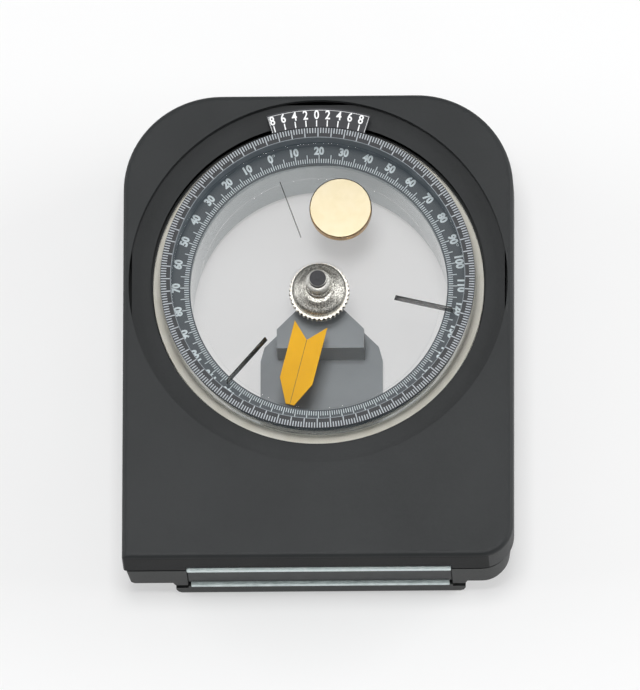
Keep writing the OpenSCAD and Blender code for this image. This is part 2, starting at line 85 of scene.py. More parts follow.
# %% [markdown]
# ## Colours
# A colour is written as the sRGB hex value that a colour picker shows. Blender's shaders work with
# linear light, so one function turns the one into the other. Without it every colour comes out too pale.

# %% Colour helper
def linear(hex_colour):
    """An sRGB colour such as '#3a3c3d' as linear red, green, blue and alpha."""
    parts = [int(hex_colour[i:i + 2], 16) / 255 for i in (1, 3, 5)]
    return [p / 12.92 if p <= 0.04045 else ((p + 0.055) / 1.055) ** 2.4 for p in parts] + [1.0]


print("mid grey", [round(v, 3) for v in linear("#808080")[:3]])

# %% [markdown]
# ## One helper for all shader nodes
# A material is a small network of nodes. Adding a node, setting its values and joining its sockets
# are always the same three steps, so a single helper does them. A value that is a socket is linked,
# and any other value is set. Pattern sizes are given in millimetres: `per_mm` turns the size of one
# grain into the scale that a texture node wants, because Object coordinates are in metres.

# %% Node helper
def add(tree, kind, inputs=(), **settings):
    """Adds a shader node, with its settings, its values and its links."""
    node = tree.nodes.new("ShaderNode" + kind)
    for name, value in settings.items():
        setattr(node, name, value)
    for name, value in dict(inputs).items():
        if isinstance(value, bpy.types.NodeSocket):
            tree.links.new(value, node.inputs[name])
        else:
            node.inputs[name].default_value = value
    return node


def blank_material(name):
    """An empty material, its node tree, its output node and the object's own coordinates."""
    material = bpy.data.materials.new(name)
    material.use_nodes = True
    tree = material.node_tree
    tree.nodes.clear()
    output = add(tree, "OutputMaterial")
    return material, tree, output, add(tree, "TexCoord").outputs["Object"]


def per_mm(size):
    """The texture scale at which one grain is this many millimetres wide."""
    return 1000.0 / size


print("a grain of 0.5 mm is scale", per_mm(0.5))

# %% [markdown]
# ## Moulded ABS
# Both halves of the case are injection moulded in black ABS. The steel mould is spark eroded, which
# leaves a fine matt grain of about a third of a millimetre, so the light spreads and the black reads
# as charcoal. A slow noise varies the colour a little, as handling does, and a fast one makes the
# grain. The real grain is drawn a bit coarser than life, or it would not show at all.

# %% Moulded ABS
def moulded_abs(name, dark, light, roughness, grain_mm=0.6, relief_mm=0.03):
    material, tree, output, place = blank_material(name)
    handling = add(tree, "TexNoise", {"Vector": place, "Scale": per_mm(24), "Detail": 3.0})
    grain = add(tree, "TexNoise", {"Vector": place, "Scale": per_mm(grain_mm), "Detail": 2.0})
    spread = add(tree, "MapRange", {"Value": handling.outputs["Fac"], "From Min": 0.35, "From Max": 0.65})
    colour = add(tree, "Mix", {0: spread.outputs["Result"], 6: linear(dark), 7: linear(light)},
                 data_type="RGBA")
    polish = add(tree, "MapRange", {"Value": grain.outputs["Fac"], "To Min": roughness - 0.06,
                                    "To Max": roughness + 0.08})
    bump = add(tree, "Bump", {"Height": grain.outputs["Fac"], "Strength": 0.6, "Distance": relief_mm * MM})
    plastic = add(tree, "BsdfPrincipled", {
        "Base Color": colour.outputs[2], "Roughness": polish.outputs["Result"],
        "IOR": 1.53, "Specular IOR Level": 0.27, "Normal": bump.outputs["Normal"]})
    tree.links.new(plastic.outputs["BSDF"], output.inputs["Surface"])
    return material


abs_front = moulded_abs("abs_spark_eroded_front", "#292b2c", "#2e3031", 0.55)
abs_rear = moulded_abs("abs_spark_eroded_rear", "#2f3131", "#343636", 0.55)
# The bezel's slope is the same black ABS. Its lighter grey is painted light, for the reflections its slopes catch.
abs_slope_painted_light = moulded_abs("abs_bezel_slope_painted_sheen", "#47494b", "#4c4e50", 0.28, relief_mm=0.012)
# The base wall is the same black ABS. Its darker colour is painted shade for a wall that faces away from the light.
abs_wall_painted_shade = moulded_abs("abs_front_base_wall_painted_shade", "#222324", "#272828", 0.8)
abs_ring = moulded_abs("abs_window_ring", "#292b2c", "#2f3132", 0.45, relief_mm=0.01)
print("moulded:", abs_front.name, abs_rear.name, abs_slope_painted_light.name, abs_ring.name)

# %% [markdown]
# ## Clear acrylic
# The dial, the rotor's disc and the rear pane are polished acrylic. Nearly all the light passes
# straight through, and a few hundredths are mirrored: about 4% head on, and more at a glancing
# angle. A Transparent shader lets the lamps shine through to what lies below, which a refracting
# glass would not, and a mirror is mixed in by that angle. The square cut edges of a moulding look
# darker, because the light that enters there is led away inside. Here that darkness is painted shade,
# a grey tint in a copy for the edges. The chamber sleeve's grey tint and the finger ribs' dark brown
# tint are painted shade too.

# %% Clear acrylic
def clear_acrylic(name, tint, smear=0.05, mirror=0.02):
    material, tree, output, place = blank_material(name)
    facing = add(tree, "LayerWeight", {"Blend": 0.5})
    fifth = add(tree, "Math", {0: facing.outputs["Facing"], 1: 5.0}, operation="POWER")
    share = add(tree, "Math", {0: fifth.outputs[0], 1: 1.0 - mirror, 2: mirror},
                operation="MULTIPLY_ADD", use_clamp=True)
    wiped = add(tree, "TexNoise", {"Vector": place, "Scale": per_mm(9), "Detail": 4.0, "Distortion": 0.6})
    haze = add(tree, "MapRange", {"Value": wiped.outputs["Fac"], "From Min": 0.4, "From Max": 0.7,
                                  "To Min": 0.02, "To Max": 0.02 + smear})
    shine = add(tree, "BsdfPrincipled", {"Base Color": (1, 1, 1, 1), "Metallic": 1.0,
                                         "Roughness": haze.outputs["Result"]})
    clear = add(tree, "BsdfTransparent", {"Color": linear(tint)})
    both = add(tree, "MixShader", {0: share.outputs[0], 1: clear.outputs["BSDF"], 2: shine.outputs["BSDF"]})
    tree.links.new(both.outputs["Shader"], output.inputs["Surface"])
    return material


acrylic_dial = clear_acrylic("acrylic_polished_dial", "#ffffff", smear=0.02)
acrylic_disc = clear_acrylic("acrylic_polished_disc", "#ffffff", smear=0.02, mirror=0.015)
acrylic_pane = clear_acrylic("acrylic_rear_pane", "#fefefe", smear=0.02, mirror=0.015)
# The sleeve's grey tint is painted shade: it darkens the crescent of the chamber wall seen through the window.
acrylic_sleeve_painted_shade = clear_acrylic("acrylic_chamber_sleeve_painted_shade", "#e0e4e5", smear=0.01, mirror=0.03)
# A grey-tinted copy of the clear acrylic: its tint is painted shade for the moulding's cut edges.
acrylic_edge_painted_shade = clear_acrylic("acrylic_moulded_edge_painted_shade", "#e2e5e5", smear=0.1, mirror=0.03)
# The ribs' dark brown tint is painted shade: it stands for the dark a clear blade shows on edge.
acrylic_rib_painted_shade = clear_acrylic("acrylic_finger_rib_painted_shade", "#45403a", smear=0.2, mirror=0.07)
print("clear:", acrylic_dial.name, acrylic_disc.name, acrylic_pane.name)

# %% [markdown]
# ## Printed scales
# The scales are screen printed: a slate black ground, and light ink for the lines and figures. Ink
# lies in a thin even film, with a little mottle where the screen's threads held it back. The ground of
# the numbered ring and of the lens wall has a painted glow: a faint slate emission that lifts their
# shade. The pale rim line is a painted highlight, and the dark bar on the pointer's fold is painted shade.

# %% Printed scales
def screen_print(name, ink, worn, roughness, mottle_mm=0.6, glow=0.0):
    material, tree, output, place = blank_material(name)
    mottle = add(tree, "TexNoise", {"Vector": place, "Scale": per_mm(mottle_mm), "Detail": 2.0})
    film = add(tree, "MapRange", {"Value": mottle.outputs["Fac"], "From Min": 0.3, "From Max": 0.7})
    colour = add(tree, "Mix", {0: film.outputs["Result"], 6: linear(worn), 7: linear(ink)},
                 data_type="RGBA")
    bump = add(tree, "Bump", {"Height": mottle.outputs["Fac"], "Strength": 0.15, "Distance": 0.01 * MM})
    # Emission Color with the glow strength is a painted glow: a faint slate emission that lifts shade on the ground.
    print_ = add(tree, "BsdfPrincipled", {"Base Color": colour.outputs[2], "Roughness": roughness,
                                          "IOR": 1.5, "Normal": bump.outputs["Normal"],
                                          "Emission Color": linear("#363d42"), "Emission Strength": glow})
    tree.links.new(print_.outputs["BSDF"], output.inputs["Surface"])
    return material


ground_ticks = screen_print("print_ground_outer_scale", "#2c2e32", "#282a2e", 0.5, 1.5)
# The numbered ring's ground and the lens wall's ground carry a painted glow that lifts their shade.
ground_numbers_painted_glow = screen_print("print_ground_numbered_ring_painted_glow", "#2d3337", "#292e32", 0.5, 2.0, glow=0.75)
ground_wall_painted_glow = screen_print("print_ground_lens_wall_painted_glow", "#2d3337", "#292e32", 0.5, 2.0, glow=0.85)
ground_vernier = screen_print("print_ground_vernier", "#2d2e33", "#292a2e", 0.5, 1.5)
# A pale grey print for the lens rim line: a painted highlight.
painted_rim_glint = screen_print("acrylic_rim_painted_glint", "#8f969b", "#7d858b", 0.4)
ink_ticks = screen_print("ink_outer_scale", "#b9bfc4", "#a4abb1", 0.5)
ink_numbers = screen_print("ink_numbered_ring", "#dae4e7", "#c3ced2", 0.5)
# A dark brown for the bar along the pointer's fold: painted shade.
fold_painted_shade = screen_print("painted_shade_on_fold", "#8a6a1e", "#7c5f1b", 0.5)
ink_vernier = screen_print("ink_vernier", "#ffffff", "#f2f4f6", 0.5)
print("printed grounds and inks:", 8)

# %% [markdown]
# ## Metals
# Each metal here has its own way of being made. The pole plates are zinc plated and passivated,
# with a faint crystal bloom. The hub is nickel over a bead blasted turning. Its blasted grain is real,
# and its glitter is painted glints, bright and dark specks in its colour. The brass weight is turned
# and polished, with fine circles from the lathe. A metal's base colour is its mirror colour, and what
# it shows is mostly the bright room round it.

# %% Metals
def metal(name, bright, dull, roughness, grain_mm, relief_mm, spread=0.08, contrast=(0.35, 0.65),
          strength=0.3, detail=3.0):
    material, tree, output, place = blank_material(name)
    grain = add(tree, "TexNoise", {"Vector": place, "Scale": per_mm(grain_mm), "Detail": detail})
    share = add(tree, "MapRange", {"Value": grain.outputs["Fac"], "From Min": contrast[0],
                                   "From Max": contrast[1]})
    colour = add(tree, "Mix", {0: share.outputs["Result"], 6: linear(dull), 7: linear(bright)},
                 data_type="RGBA")
    polish = add(tree, "MapRange", {"Value": share.outputs["Result"], "To Min": roughness + spread,
                                    "To Max": roughness - spread})
    bump = add(tree, "Bump", {"Height": grain.outputs["Fac"], "Strength": strength,
                              "Distance": relief_mm * MM})
    shader = add(tree, "BsdfPrincipled", {
        "Base Color": colour.outputs[2], "Metallic": 1.0, "Roughness": polish.outputs["Result"],
        "Normal": bump.outputs["Normal"]})
    tree.links.new(shader.outputs["BSDF"], output.inputs["Surface"])
    return material


zinc_screw = metal("steel_zinc_plated_screw", "#c9ccce", "#a9adb0", 0.3, 0.5, 0.01)
# Bright and dark specks in the nickel's colour: blasted grain, with the glitter painted in as glints.
nickel_hub_painted_glints = metal("nickel_blasted_hub_painted_glints", "#f4f2ea", "#6e6b64", 0.5, 0.24, 0.05, 0.08, (0.42, 0.58), 0.8, 1.0)
plated_rim = metal("nickel_bright_rim", "#f6f2ea", "#ebe6da", 0.5, 0.5, 0.01)
# A darker nickel for the gaps between the rim's teeth: dirt and painted shade in the recesses.
rim_gap_dirt_and_shade = metal("nickel_gap_dirt_and_shade", "#6d6252", "#4f463a", 0.5, 0.5, 0.01)
spindle_steel = metal("steel_ground_spindle", "#e6e4df", "#cfcdc8", 0.45, 0.4, 0.01)
polished_brass = metal("brass_turned_polished", "#dbcfb2", "#d4c7a6", 0.34, 3.0, 0.003, 0.02)
# A darker copy of the brass for edges: its dark is a painted reflection of the dark round the slug.
brass_edge_painted_reflection = metal("brass_turned_edge_painted_reflection", "#c99a45", "#7d5a26", 0.25, 0.8, 0.01)
bearing_steel = metal("steel_ground_bearing", "#c8cacb", "#b0b3b5", 0.2, 0.6, 0.005)
spring_steel = metal("steel_rolled_spring", "#a9acae", "#85898c", 0.28, 0.8, 0.01)
print("metals:", 12)

# %% [markdown]
# ## Coated and ceramic parts
# The bridge is a zinc casting under grey enamel: satin, with a soft orange-peel skin. The magnet is
# sintered ferrite, a dull charcoal ceramic. The pointer has a thick coat of signal yellow, and the
# slip ring is bare nylon, which light enters a little way.

# %% Coatings and ceramic
def coated(name, light, dark, roughness, patch_mm, grain_mm, relief_mm, coat=0.0, ior=1.5, metallic=0.0):
    material, tree, output, place = blank_material(name)
    patch = add(tree, "TexNoise", {"Vector": place, "Scale": per_mm(patch_mm), "Detail": 4.0})
    share = add(tree, "MapRange", {"Value": patch.outputs["Fac"], "From Min": 0.35, "From Max": 0.65})
    colour = add(tree, "Mix", {0: share.outputs["Result"], 6: linear(dark), 7: linear(light)},
                 data_type="RGBA")
    skin = add(tree, "TexNoise", {"Vector": place, "Scale": per_mm(grain_mm), "Detail": 2.0})
    bump = add(tree, "Bump", {"Height": skin.outputs["Fac"], "Strength": 0.3, "Distance": relief_mm * MM})
    paint = add(tree, "BsdfPrincipled", {
        "Base Color": colour.outputs[2], "Roughness": roughness, "IOR": ior, "Coat Weight": coat,
        "Specular IOR Level": 0.35, "Metallic": metallic,
        "Coat Roughness": 0.12, "Normal": bump.outputs["Normal"]})
    tree.links.new(paint.outputs["BSDF"], output.inputs["Surface"])
    return material


# The bridge's wall is the same grey enamel. Its near-white colour is painted light for a wall that lies in shade.
enamel_wall_painted_light = coated("enamel_bridge_wall_painted_light", "#eef1f2", "#e6e9ea", 0.5, 14, 1.2, 0.02)
enamel_bridge = coated("enamel_grey_on_zinc_casting", "#8b9093", "#84888b", 0.5, 14, 1.2, 0.02, metallic=0.4)
ferrite = coated("ferrite_sintered", "#454748", "#3d3f40", 0.6, 2.5, 0.5, 0.03)
yellow_paint = coated("paint_signal_yellow", "#f5b708", "#efb106", 0.65, 5, 0.8, 0.01)
nylon = coated("nylon_natural", "#e6e3d8", "#dcd8ca", 0.45, 5, 0.8, 0.01)
dark_steel = coated("steel_blackened_head", "#3a3a3d", "#2f2f32", 0.5, 0.8, 0.3, 0.01)
nickel_collar = coated("nickel_blasted_collar", "#ecebe6", "#a8a69e", 0.4, 0.3, 0.25, 0.04, metallic=0.3)
# The pole plates are one zinc plated steel. The upper plate's paler copy is painted light, and the lower plate's
# darker copy is painted shade.
zinc_pole_painted_light = coated("steel_zinc_passivated_pole_painted_light", "#eef9f8", "#dfeeed", 0.4, 1.2, 0.5, 0.01, metallic=0.5)
zinc_pole_lower_painted_shade = coated("steel_zinc_passivated_lower_pole_painted_shade", "#e6f2f1", "#c6d4d3", 0.4, 2.5, 0.5, 0.01, metallic=0.6)
print("coated:", enamel_bridge.name, ferrite.name, yellow_paint.name, nylon.name)

# %% [markdown]
# ## From a mesh in the making to a finished piece
# Each new piece starts as a bmesh, Blender's workbench for vertices, edges and faces. When it is
# done, its doubles are merged, its faces are turned outwards and it becomes a mesh with smooth
# shading that stops at sharp edges. Then it is told which body of the mechanism it rides on, and
# which CAD nodes it stands for. The weighted normals let the wide flat faces stay flat.

# %% Finish a piece
def finish_piece(bm, name, body, materials, nodes=(), sharp=32, even=True, merge=0.001):
    bmesh.ops.remove_doubles(bm, verts=bm.verts[:], dist=merge * MM)
    bmesh.ops.recalc_face_normals(bm, faces=bm.faces[:])
    mesh = bpy.data.meshes.new(name)
    bm.to_mesh(mesh)
    bm.free()
    for material in materials if isinstance(materials, (list, tuple)) else [materials]:
        mesh.materials.append(material)
    mesh.shade_smooth()
    mesh.set_sharp_from_angle(angle=math.radians(sharp))
    piece = bpy.data.objects.new(name, mesh)
    bpy.context.scene.collection.objects.link(piece)
    if even:
        piece.modifiers.new("even_shading", "WEIGHTED_NORMAL").keep_sharp = True
    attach(piece, body)
    if nodes:
        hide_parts(*nodes)
    print(f"{name}: {len(mesh.polygons)} faces on {body}")
    return piece


# %% [markdown]
# ## Turned pieces
# Most of an instrument is turned on a lathe or moulded round. Such a piece is one flat profile,
# drawn as radius and height, and spun about the dial's axis. The corners of the profile are rounded
# first, while they are only points: a bevel of a vertex is quick and clean there. An edge that lies
# on the axis itself is taken out, so that the spin leaves no wall inside.

# %% Profile and spin
def spun(points, rounds=(), steps=192, bm=None):
    """Spins a closed profile of (radius, height) in mm. rounds gives corner numbers their radius."""
    whole = bm or bmesh.new()
    draft = bmesh.new()
    corners = [draft.verts.new(at(r, 0, z)) for r, z in points]
    draft.faces.new(corners)
    for number, radius in dict(rounds).items():
        bmesh.ops.bevel(draft, geom=[corners[number]], offset=radius * MM, offset_type="OFFSET",
                        segments=4, profile=0.5, affect="VERTICES", material=-1)
    bmesh.ops.delete(draft, geom=draft.faces[:], context="FACES_ONLY")
    on_axis = [e for e in draft.edges if all(v.co.x < 1e-7 for v in e.verts)]
    bmesh.ops.delete(draft, geom=on_axis, context="EDGES")
    bmesh.ops.spin(draft, geom=draft.verts[:] + draft.edges[:], cent=(0, 0, 0), axis=(0, 0, 1),
                   angle=2 * math.pi, steps=steps, use_merge=True)
    bmesh.ops.remove_doubles(draft, verts=draft.verts[:], dist=1e-7)
    bmesh.ops.recalc_face_normals(draft, faces=draft.faces[:])
    bmesh.ops.translate(draft, verts=draft.verts[:], vec=at(0, DIAL_Y, 0))
    keep = bpy.data.meshes.new("turning")
    draft.to_mesh(keep)
    draft.free()
    whole.from_mesh(keep)
    bpy.data.meshes.remove(keep)
    return whole


def cut(piece_bm, cutter_bm, operation="DIFFERENCE"):
    """One solid cut from another, or joined to it, through Blender's Boolean modifier."""
    holders = []
    for bm in (piece_bm, cutter_bm):
        mesh = bpy.data.meshes.new("holder")
        bm.to_mesh(mesh)
        bm.free()
        holders.append(bpy.data.objects.new("holder", mesh))
        bpy.context.scene.collection.objects.link(holders[-1])
    boolean = holders[0].modifiers.new("cut", "BOOLEAN")
    boolean.operation, boolean.solver, boolean.object = operation, "EXACT", holders[1]
    result = bmesh.new()
    ready = holders[0].evaluated_get(bpy.context.evaluated_depsgraph_get())
    result.from_mesh(ready.to_mesh())
    ready.to_mesh_clear()
    for holder in holders:
        mesh = holder.data
        bpy.data.objects.remove(holder)
        bpy.data.meshes.remove(mesh)
    return result


def block(low, high, bm=None):
    """A box between two corners in mm."""
    bm = bm or bmesh.new()
    size = Vector(high) - Vector(low)
    middle = (Vector(high) + Vector(low)) / 2
    bmesh.ops.create_cube(bm, size=1.0, matrix=Matrix.Translation(at(*middle)) @ Matrix.Diagonal(
        Vector((size.x * MM, size.y * MM, size.z * MM, 1))))
    return bm


# %% [markdown]
# ## Outline of the case
# Seen from the front the case is a rectangle with two big round shoulders, one small round corner at
# the lower right and one nearly square corner at the lower left. Four points make the rectangle,
# and a vertex bevel with its own radius rounds each. The wall is built by bridging such outlines,
# each a little smaller than the one below it, which gives the soft front edge its quarter circle.

# %% Case outline
def case_loop(bm, side_in, base_in, z):
    """The edges of the case's outline at one height, drawn in from the sides and from the base."""
    before = set(bm.edges)
    x, top, base = 50 - side_in, 62.25 - side_in, -61.75 + base_in
    corners = [bm.verts.new(at(*p, z)) for p in ((-x, base), (x, base), (x, top), (-x, top))]
    bm.faces.new(corners)
    radii = (0.6, 8.5 - side_in, 25 - side_in, 25 - side_in)
    for corner, radius, steps in zip(corners, radii, (4, 12, 24, 24)):
        bmesh.ops.bevel(bm, geom=[corner], offset=radius * MM, offset_type="OFFSET", segments=steps,
                        profile=0.5, affect="VERTICES", material=-1)
    edges = [e for e in bm.edges if e not in before]
    flat = [f for f in bm.faces if all(abs(v.co.z - z * MM) < 1e-9 for v in f.verts)]
    bmesh.ops.delete(bm, geom=flat, context="FACES_ONLY")
    return edges


def case_block(levels):
    """A closed solid through the outlines given as (side in, base in, height)."""
    bm = bmesh.new()
    loops = [case_loop(bm, *level) for level in levels]
    for lower, upper in zip(loops, loops[1:]):
        bmesh.ops.bridge_loops(bm, edges=lower + upper)
    for loop in (loops[0], loops[-1]):
        bmesh.ops.edgeloop_fill(bm, edges=loop)
    bmesh.ops.recalc_face_normals(bm, faces=bm.faces[:])
    return bm


test = case_block([(0, 0, 0), (0, 0, 1)])
print("case outline has", len(test.verts) // 2, "points")
test.free()

# %% [markdown]
# ## Front shell
# The front half of the case is one moulding: a face with a raised bezel round the dial. The block is
# hollowed, the bezel is turned as a ring and joined on, and the window for the vernier is a sector
# cut down into the bezel's land. The parting edge gets a small bevel, since two mouldings that meet
# always show a fine shadow line.

# %% Front shell
EDGE_R = 1.5
front_levels = [(0.35, 0.2, PART_Z + 0.02), (0.0, 0.0, PART_Z + 0.3), (0.0, 0.0, FACE_Z - EDGE_R)]
for step in range(1, 7):
    turn = math.radians(15 * step)
    inset = EDGE_R * (1 - math.cos(turn))
    front_levels.append((inset, inset, FACE_Z - EDGE_R + EDGE_R * math.sin(turn)))
shell = case_block(front_levels)
shell = cut(shell, case_block([(2.2, 2.2, PART_Z - 1), (2.2, 2.2, FACE_Z - 2.2)]))
shell = cut(shell, spun([(0, PART_Z), (41.5, PART_Z), (41.5, 40), (0, 40)]))
bezel = spun([(BORE_R, 27.4), (43.0, 27.4), (43.0, FACE_Z - 2.2), (BEZEL_FOOT_R, FACE_Z - 2.2),
              (BEZEL_FOOT_R, FACE_Z), (BEZEL_R + 0.1, BEZEL_Z - 0.5), (BEZEL_R - 0.4, BEZEL_Z),
              (BORE_R, BEZEL_Z)], {5: 0.3, 6: 0.3, 7: 0.12}, steps=256)
shell = cut(shell, bezel, "UNION")

# %% [markdown]
# ## Vernier opening and pole slot
# The opening is a ring sector: a small rectangle spun through the angle of the vernier plate. The
# slot for the upper pole plate is a plain box through the base wall.

# %% Openings of the front shell
def sector(r_in, r_out, low, high, middle, span, steps=24):
    """A closed ring sector about the dial's axis, its middle in degrees anticlockwise from the top."""
    bm = bmesh.new()
    corners = [bm.verts.new(at(r, 0, z)) for r, z in ((r_in, low), (r_out, low), (r_out, high), (r_in, high))]
    face = bm.faces.new(corners)
    bmesh.ops.rotate(bm, verts=bm.verts[:], matrix=Matrix.Rotation(
        math.radians(90 + middle - span / 2), 3, "Z"))
    bmesh.ops.spin(bm, geom=[face] + face.edges[:] + face.verts[:], cent=(0, 0, 0), axis=(0, 0, 1),
                   angle=math.radians(span), steps=steps)
    bmesh.ops.recalc_face_normals(bm, faces=bm.faces[:])
    bmesh.ops.translate(bm, verts=bm.verts[:], vec=at(0, DIAL_Y, 0))
    return bm


shell = cut(shell, sector(BORE_R - 0.5, BORE_R + 5.1, SCALE_Z - 0.5, BEZEL_Z + 1, VERNIER_TURN, 34.6))
shell = cut(shell, block((-33.9, -63, 19.8), (33.9, -49.67, 22.0)))
shell = cut(shell, block((-33.9, -63, 19.9), (33.9, -60.55, 22.6)))
shell.normal_update()
for face in shell.faces:
    middle = face.calc_center_median() / MM
    # Faces of the bezel's slope take the lighter copy of the ABS, whose grey is painted light.
    on_slope = middle.z > FACE_Z + 0.02 and 0.3 < face.normal.z < 0.8 and math.hypot(
        middle.x, middle.y - DIAL_Y) > BEZEL_R - 0.5
    # Faces of the base wall take the darker copy of the ABS, whose dark is painted shade.
    on_base = face.normal.y < -0.95 and middle.y < -60
    face.material_index = 1 if on_slope else 2 if on_base else 0
front_case = finish_piece(shell, "front_case", "case", [abs_front, abs_slope_painted_light, abs_wall_painted_shade], ["front_shell"])

# %% [markdown]
# ## CAD nodes with softened edges
# Where a node's shape is right, its mesh is copied, merged and cleaned of the triangles that the CAD
# export left in flat faces. A Bevel modifier then breaks every sharp edge, because no moulded, cast
# or sawn edge is truly sharp, and the thin bright line that it catches is what the eye reads as real.

# %% Softened copies
def softened(node, name, body, materials, width_mm, sharp=32, limit=40):
    bm = bmesh.new()
    bm.from_mesh(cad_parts[node].data)
    bmesh.ops.remove_doubles(bm, verts=bm.verts[:], dist=1e-6)
    bmesh.ops.dissolve_limit(bm, angle_limit=math.radians(0.5), verts=bm.verts[:], edges=bm.edges[:])
    for face in bm.faces:
        face.material_index = 0
    piece = finish_piece(bm, name, body, materials, [node], sharp=sharp, even=False)
    bevel = piece.modifiers.new("broken_edges", "BEVEL")
    bevel.width, bevel.segments, bevel.limit_method = width_mm * MM, 2, "ANGLE"
    bevel.angle_limit = math.radians(limit)
    piece.modifiers.new("even_shading", "WEIGHTED_NORMAL").keep_sharp = True
    return piece


rear_case = softened("rear_shell", "rear_case", "case", abs_rear, 0.25)
bridge = softened("bearing_bridge", "bridge", "case", [enamel_bridge, enamel_wall_painted_light], 0.4)
# Faces of the bridge that look towards the base take the near-white copy of the enamel: painted light.
for polygon in bridge.data.polygons:
    polygon.material_index = 1 if polygon.normal.y < -0.9 else 0
magnet = softened("magnet", "magnet_block", "case", ferrite, 0.25)
# The upper and lower pole plates take a lit copy and a shaded copy of one zinc finish: painted light and painted
# shade.
pole_upper = softened("upper_pole", "pole_upper", "case", zinc_pole_painted_light, 0.2)
pole_lower = softened("lower_pole", "pole_lower", "case", zinc_pole_lower_painted_shade, 0.2)
screws_case = softened("case_screws", "screws_case", "case", zinc_screw, 0.15)
screws_bridge = softened("bridge_screws", "screws_bridge", "case", zinc_screw, 0.12)

# %% [markdown]
# ## Nodes that stay as they are
# Some CAD nodes are already the finished shape: plain rings, the pane, the sleeve, the nut, the washer,
# the spring and the bearings. They keep their mesh, and only their material changes.

# %% Materials for the nodes that stay
def dress(node, material):
    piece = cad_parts[node]
    if not piece.material_slots:
        piece.data.materials.append(material)
    for material_slot in piece.material_slots:
        material_slot.material = material


# The chamber sleeve's material carries a grey tint that is painted shade.
for node, material in {"rear_window": acrylic_pane, "window_ring": abs_ring, "chamber_sleeve": acrylic_sleeve_painted_shade, "vernier_plate": ground_vernier,
                       "spindle_nut": zinc_screw, "spacer_washer": zinc_screw,
                       "wave_spring": spring_steel, "slip_ring": nylon, "tick_ring": ground_ticks,
                       "number_ring": ground_numbers_painted_glow, "rotor_bearings": bearing_steel,
                       "weight_pin": brass_edge_painted_reflection}.items():
    dress(node, material)
print("nodes dressed in place:", 12)

# %% [markdown]
# ## Dial lens
# The dial is one clear moulding: a floor with two finger ribs, a wall that steps up to the outer
# scale, and a skirt that holds the numbered ring and catches behind the bezel. A fine groove in the
# floor points to the zero mark. It is one profile,
# spun fine so that its edge shows no corners. Its upright walls get the edge copy, whose grey tint is
# painted shade. The groove gets the rib material with its painted shade, and the slate wall beside the
# numbered ring gets the print ground with its painted glow.

# %% Lens moulding
lens_profile = [(2.05, LENS_Z - 1.4), (38.0, LENS_Z - 1.4), (38.0, NUMBER_Z), (38.94, NUMBER_Z),
                (38.94, 25.5), (42.42, 25.5), (42.42, 27.0), (40.42, 27.0), (40.42, SCALE_Z - 0.5),
                (37.72, SCALE_Z - 0.5), (37.72, LENS_Z), (2.05, LENS_Z)]
lens = spun(lens_profile, {0: 0.15, 11: 0.3, 10: 0.3}, steps=256)
groove = block((-0.1, DIAL_Y + 13, LENS_Z - 0.12), (0.1, DIAL_Y + 29, LENS_Z + 1))
bmesh.ops.transform(groove, matrix=about_dial(ZERO_TURN), verts=groove.verts[:])
lens = cut(lens, groove)
bmesh.ops.recalc_face_normals(lens, faces=lens.faces[:])
lens.normal_update()
for face in lens.faces:
    middle = face.calc_center_median() / MM
    in_groove = LENS_Z - 0.25 < middle.z < LENS_Z - 0.05 and math.hypot(middle.x, middle.y - DIAL_Y) < 30
    upright = abs(face.normal.z) < 0.5 and middle.z < SCALE_Z
    on_wall = upright and middle.z > NUMBER_Z and 37.4 < math.hypot(middle.x, middle.y - DIAL_Y) < 38.1
    # Upright faces take the edge copy with painted shade, the groove takes the rib material with painted shade, and
    # the slate wall takes the ground with a painted glow.
    face.material_index = 2 if in_groove else 3 if on_wall else 1 if upright else 0

# %% [markdown]
# ## Finger ribs
# A finger turns the dial by two ribs that stand on the lens. Each is a thin blade with leaning ends,
# which lets it leave the mould. It starts as a box, its upper ends are drawn in, and its edges are
# bevelled. A clear blade seen on edge looks dark with bright glints. Here the dark is painted shade, a
# dark brown tint in the rib material, and the glints come from its strong mirror share.

# %% Ribs
def add_rib(bm, degrees):
    rib = block((20.0, -0.2, LENS_Z - 0.01), (35.82, 0.2, LENS_Z + 3.4))
    for vert in rib.verts:
        if vert.co.z > LENS_Z * MM + 0.001:
            vert.co.x += 0.0005 if vert.co.x < 0.028 else -0.0005
    bmesh.ops.bevel(rib, geom=rib.edges[:], offset=0.08 * MM, offset_type="OFFSET", segments=2,
                    profile=0.5, affect="EDGES", material=-1)
    bmesh.ops.transform(rib, matrix=about_dial(degrees) @ Matrix.Translation(at(0, DIAL_Y, 0))
                        @ Matrix.Rotation(math.radians(90), 4, "Z"), verts=rib.verts[:])
    for face in rib.faces:
        # The rib material's dark brown tint is painted shade.
        face.material_index = 2
    mesh = bpy.data.meshes.new("rib")
    rib.to_mesh(mesh)
    rib.free()
    bm.from_mesh(mesh)
    bpy.data.meshes.remove(mesh)


for side in (-1, 1):
    add_rib(lens, ZERO_TURN + RIB_TURN + side * RIB_SPREAD / 2)
dial_lens = finish_piece(lens, "dial_moulding", "dial",
                         [acrylic_dial, acrylic_edge_painted_shade, acrylic_rib_painted_shade, ground_wall_painted_glow],
                         ["dial_lens"], merge=0.0005)

# %% [markdown]
# ## Lines of the scales
# The outer scale has a line for each of 360 degrees, and the numbered ring below has its own. Each
# line is a thin bar made by `create_cube` with a matrix that sizes it, moves it out to its radius
# and turns it to its angle. Bars of six faces keep 720 lines light.

# %% Scale lines
def add_line(bm, degrees, r_in, r_out, z, width, thick=0.03):
    size = Matrix.Diagonal(Vector((width * MM, (r_out - r_in) * MM, thick * MM, 1)))
    out = Matrix.Translation(at(0, DIAL_Y + (r_in + r_out) / 2, z + thick / 2))
    bmesh.ops.create_cube(bm, size=1.0, matrix=about_dial(degrees) @ out @ size)


